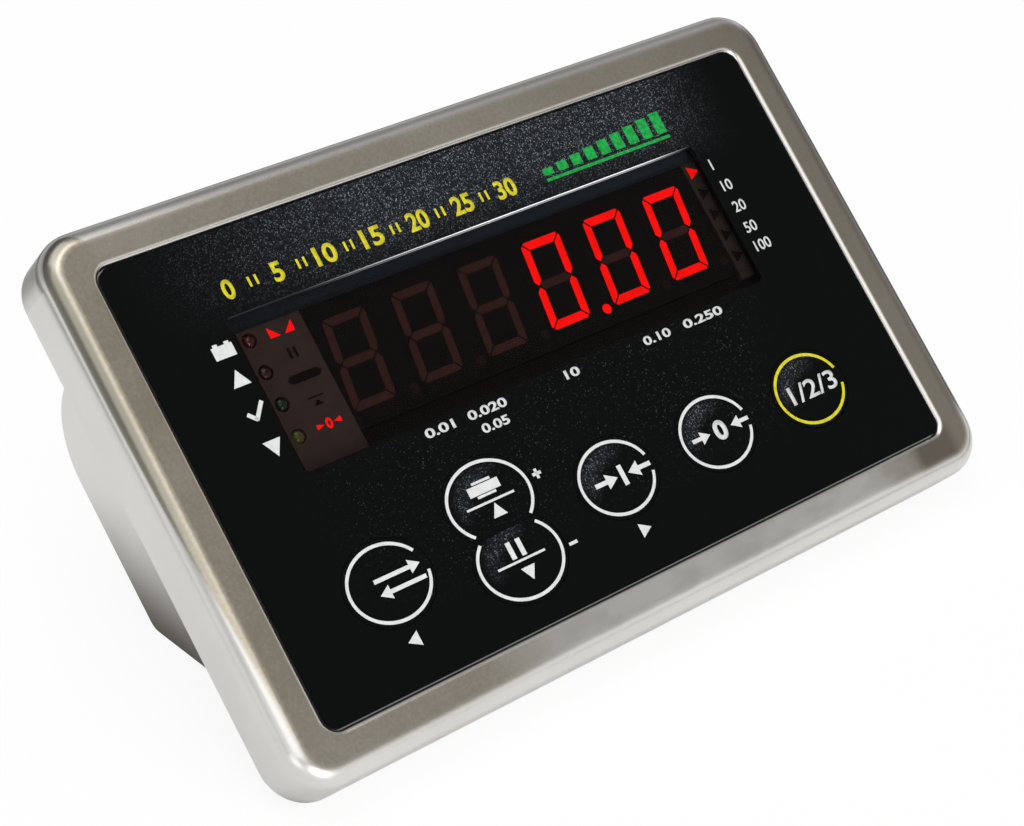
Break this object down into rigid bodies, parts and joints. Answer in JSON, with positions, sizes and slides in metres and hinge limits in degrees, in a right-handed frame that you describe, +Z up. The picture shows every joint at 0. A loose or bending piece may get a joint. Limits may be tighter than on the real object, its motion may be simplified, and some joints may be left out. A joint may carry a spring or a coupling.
{
  "type": "weighing indicator",
  "caption": "Bench weighing indicator: sloping stainless steel console with a black membrane keypad, red segment display, cable glands and a rocker switch on its back.",
  "frame": {"origin": "centre of the bounding box's footprint, on the desk", "axes": "+X to the right as seen from the front, +Y from the front towards the back, +Z up; the console stands as on a desk"},
  "size_m": [0.194, 0.1156, 0.0901],
  "materials": {
    "steel": "satin",
    "zinc": "plated",
    "film": "fine texture",
    "print_film": "plain",
    "flex": "film",
    "window": "clear red tint",
    "module_body": "epoxy",
    "bar_lit": "lit",
    "bar_dark": "unlit",
    "block": "moulded",
    "lamp_red": "diffused",
    "lamp_brown": "diffused",
    "lamp_green": "diffused",
    "lamp_yellow": "diffused",
    "foam": "closed cell foam",
    "board": "solder mask",
    "socket": "moulded",
    "black_plastic": "moulded",
    "brass_part": "bright",
    "chip": "moulded",
    "can": "tinned",
    "sleeve": "shrunk film",
    "terminal": "moulded",
    "cell": "shrunk film",
    "seal": "soft"
  },
  "bodies": {
    "console": {"front_shell": "steel", "rear_shell": "steel", "shell_gasket": "foam", "shell_posts": "zinc", "shell_screws": "zinc", "keypad_overlay": "film", "keypad_spacer": "print_film", "keypad_circuit": "print_film", "keypad_tail": "flex", "snap_domes": "zinc", "display_window": "window", "digit_1": "module_body", "digit_2": "module_body", "digit_3": "module_body", "digit_4": "module_body", "digit_5": "module_body", "digit_6": "module_body", "bars_lit": "bar_lit", "bars_dark": "bar_dark", "symbol_block": "block", "symbols_lit": "bar_lit", "symbols_dark": "bar_dark", "pointer_block": "module_body", "pointer_lit": "bar_lit", "pointers_dark": "bar_dark", "lamp_battery": "lamp_red", "lamp_high": "lamp_brown", "lamp_accept": "lamp_green", "lamp_low": "lamp_yellow", "display_shield": "foam", "display_board": "board", "tail_socket": "socket", "board_link": "black_plastic", "main_board": "board", "board_studs": "zinc", "board_pillars": "brass_part", "board_screws": "zinc", "board_chips": "chip", "converter_cover": "can", "capacitors": "sleeve", "terminal_blocks": "terminal", "battery_tray": "black_plastic", "battery_cells": "cell", "gland_bodies": "black_plastic", "gland_washers": "seal", "gland_seals": "seal", "gland_caps": "black_plastic", "gland_locknuts": "black_plastic", "switch_housing": "black_plastic", "switch_tabs": "brass_part", "bracket_nuts": "zinc"},
    "key_net": {"key_net": "film"},
    "key_print": {"key_print": "film"},
    "key_hold": {"key_hold": "film"},
    "key_tare": {"key_tare": "film"},
    "key_zero": {"key_zero": "film"},
    "key_unit": {"key_unit": "film"},
    "switch_rocker": {"switch_rocker": "black_plastic"}
  },
  "joints": [
    {"name": "net_press", "type": "slide", "parent": "console", "child": "key_net", "axis": [0, 0.6749, -0.7379], "range_m": [0, 0.0004], "stiffness_N_per_m": 2500},
    {"name": "print_press", "type": "slide", "parent": "console", "child": "key_print", "axis": [0, 0.6749, -0.7379], "range_m": [0, 0.0004], "stiffness_N_per_m": 2500},
    {"name": "hold_press", "type": "slide", "parent": "console", "child": "key_hold", "axis": [0, 0.6749, -0.7379], "range_m": [0, 0.0004], "stiffness_N_per_m": 2500},
    {"name": "tare_press", "type": "slide", "parent": "console", "child": "key_tare", "axis": [0, 0.6749, -0.7379], "range_m": [0, 0.0004], "stiffness_N_per_m": 2500},
    {"name": "zero_press", "type": "slide", "parent": "console", "child": "key_zero", "axis": [0, 0.6749, -0.7379], "range_m": [0, 0.0004], "stiffness_N_per_m": 2500},
    {"name": "unit_press", "type": "slide", "parent": "console", "child": "key_unit", "axis": [0, 0.6749, -0.7379], "range_m": [0, 0.0004], "stiffness_N_per_m": 2500},
    {"name": "power_rocker", "type": "hinge", "parent": "console", "child": "switch_rocker", "pos_m": [0.048, 0.04218, 0.05529], "axis": [0, 0.378, -0.9258], "range_deg": [-24, 0]}
  ]
}
